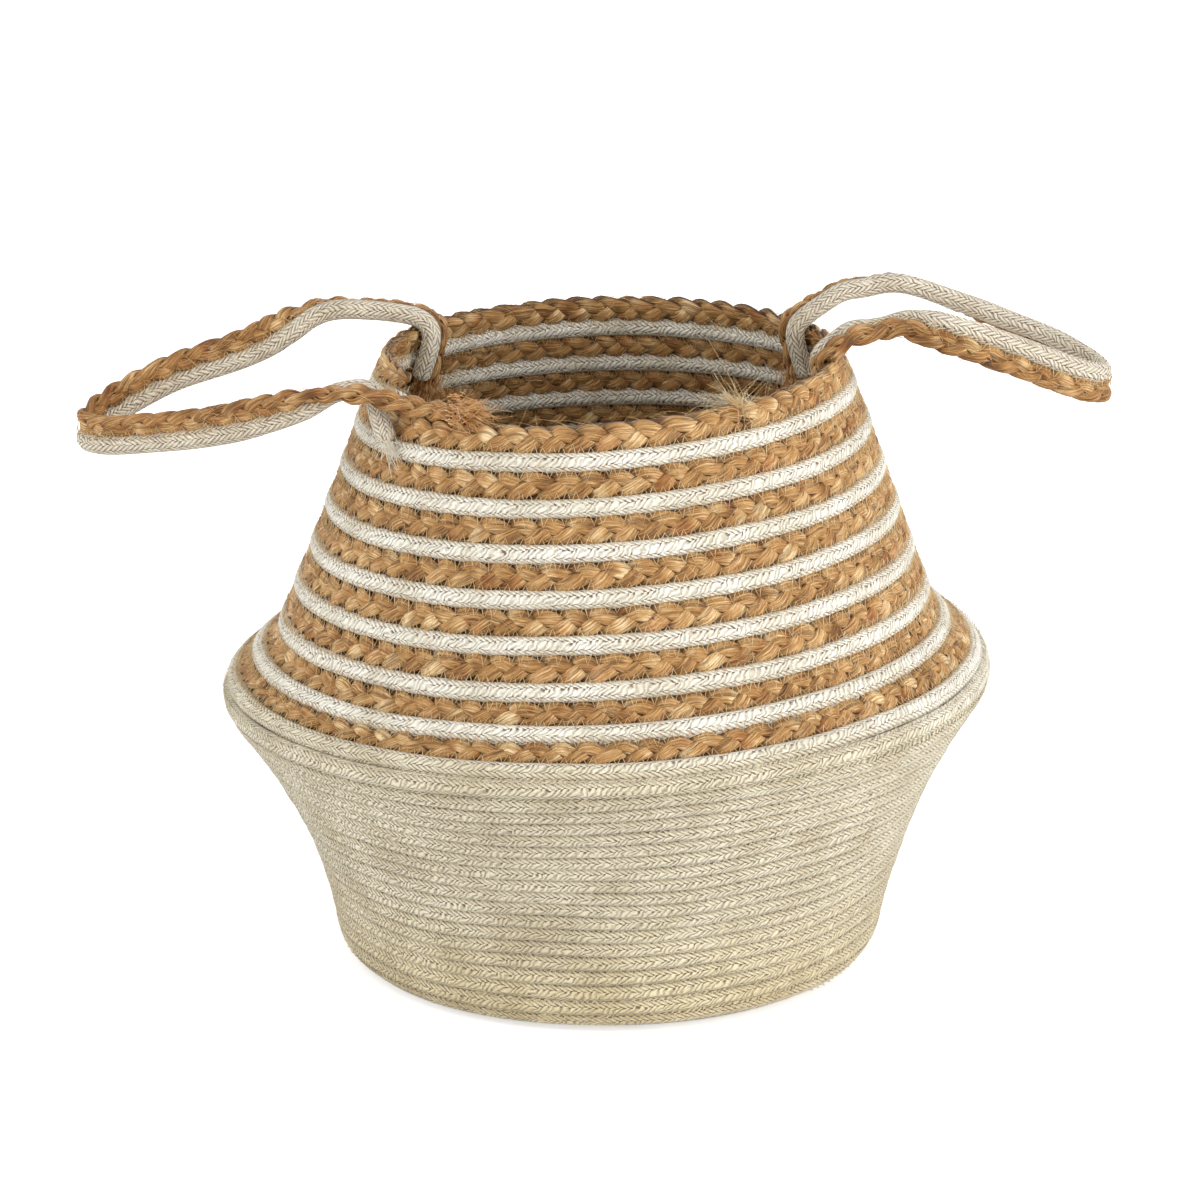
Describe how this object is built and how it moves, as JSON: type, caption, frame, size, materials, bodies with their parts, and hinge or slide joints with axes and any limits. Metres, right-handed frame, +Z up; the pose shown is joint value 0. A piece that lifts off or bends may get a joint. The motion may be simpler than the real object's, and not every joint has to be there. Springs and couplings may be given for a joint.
{
  "type": "jute basket",
  "caption": "Round-bellied coiled rope basket with a drawn-in striped neck, an open mouth and loop handles that swing at the rim.",
  "frame": {"origin": "centre of the flat underside of the base, on the surface that the basket stands on", "axes": "+Z up out of the mouth; +X towards the right handle as the picture shows it; -Y towards the viewer"},
  "size_m": [0.3685, 0.2745, 0.2423],
  "materials": {
    "cotton_rope": "matte, fine braided cover",
    "jute_braid": "three-strand flat braid with glossy fibres"
  },
  "bodies": {
    "basket": {"base_coil": "cotton_rope", "lower_wall_rope": "cotton_rope", "shoulder_rope": "cotton_rope", "shoulder_braid": "jute_braid", "rim_braid": "jute_braid", "left_back_foot_rope": "cotton_rope", "left_back_foot_braid": "jute_braid", "left_front_foot_rope": "cotton_rope", "left_front_foot_braid": "jute_braid", "right_back_foot_rope": "cotton_rope", "right_back_foot_braid": "jute_braid", "right_front_foot_rope": "cotton_rope", "right_front_foot_braid": "jute_braid"},
    "left_handle": {"left_handle_rope": "cotton_rope", "left_handle_braid": "jute_braid"},
    "right_handle": {"right_handle_rope": "cotton_rope", "right_handle_braid": "jute_braid"}
  },
  "joints": [
    {"name": "left_handle_swing", "type": "hinge", "parent": "basket", "child": "left_handle", "pos_m": [-0.08847, 0, 0.22321], "axis": [0, 0.9923, 0.124], "range_deg": [-45, 100]},
    {"name": "right_handle_swing", "type": "hinge", "parent": "basket", "child": "right_handle", "pos_m": [0.09247, 0, 0.23275], "axis": [0, -0.9945, -0.1052], "range_deg": [-45, 90]}
  ]
}
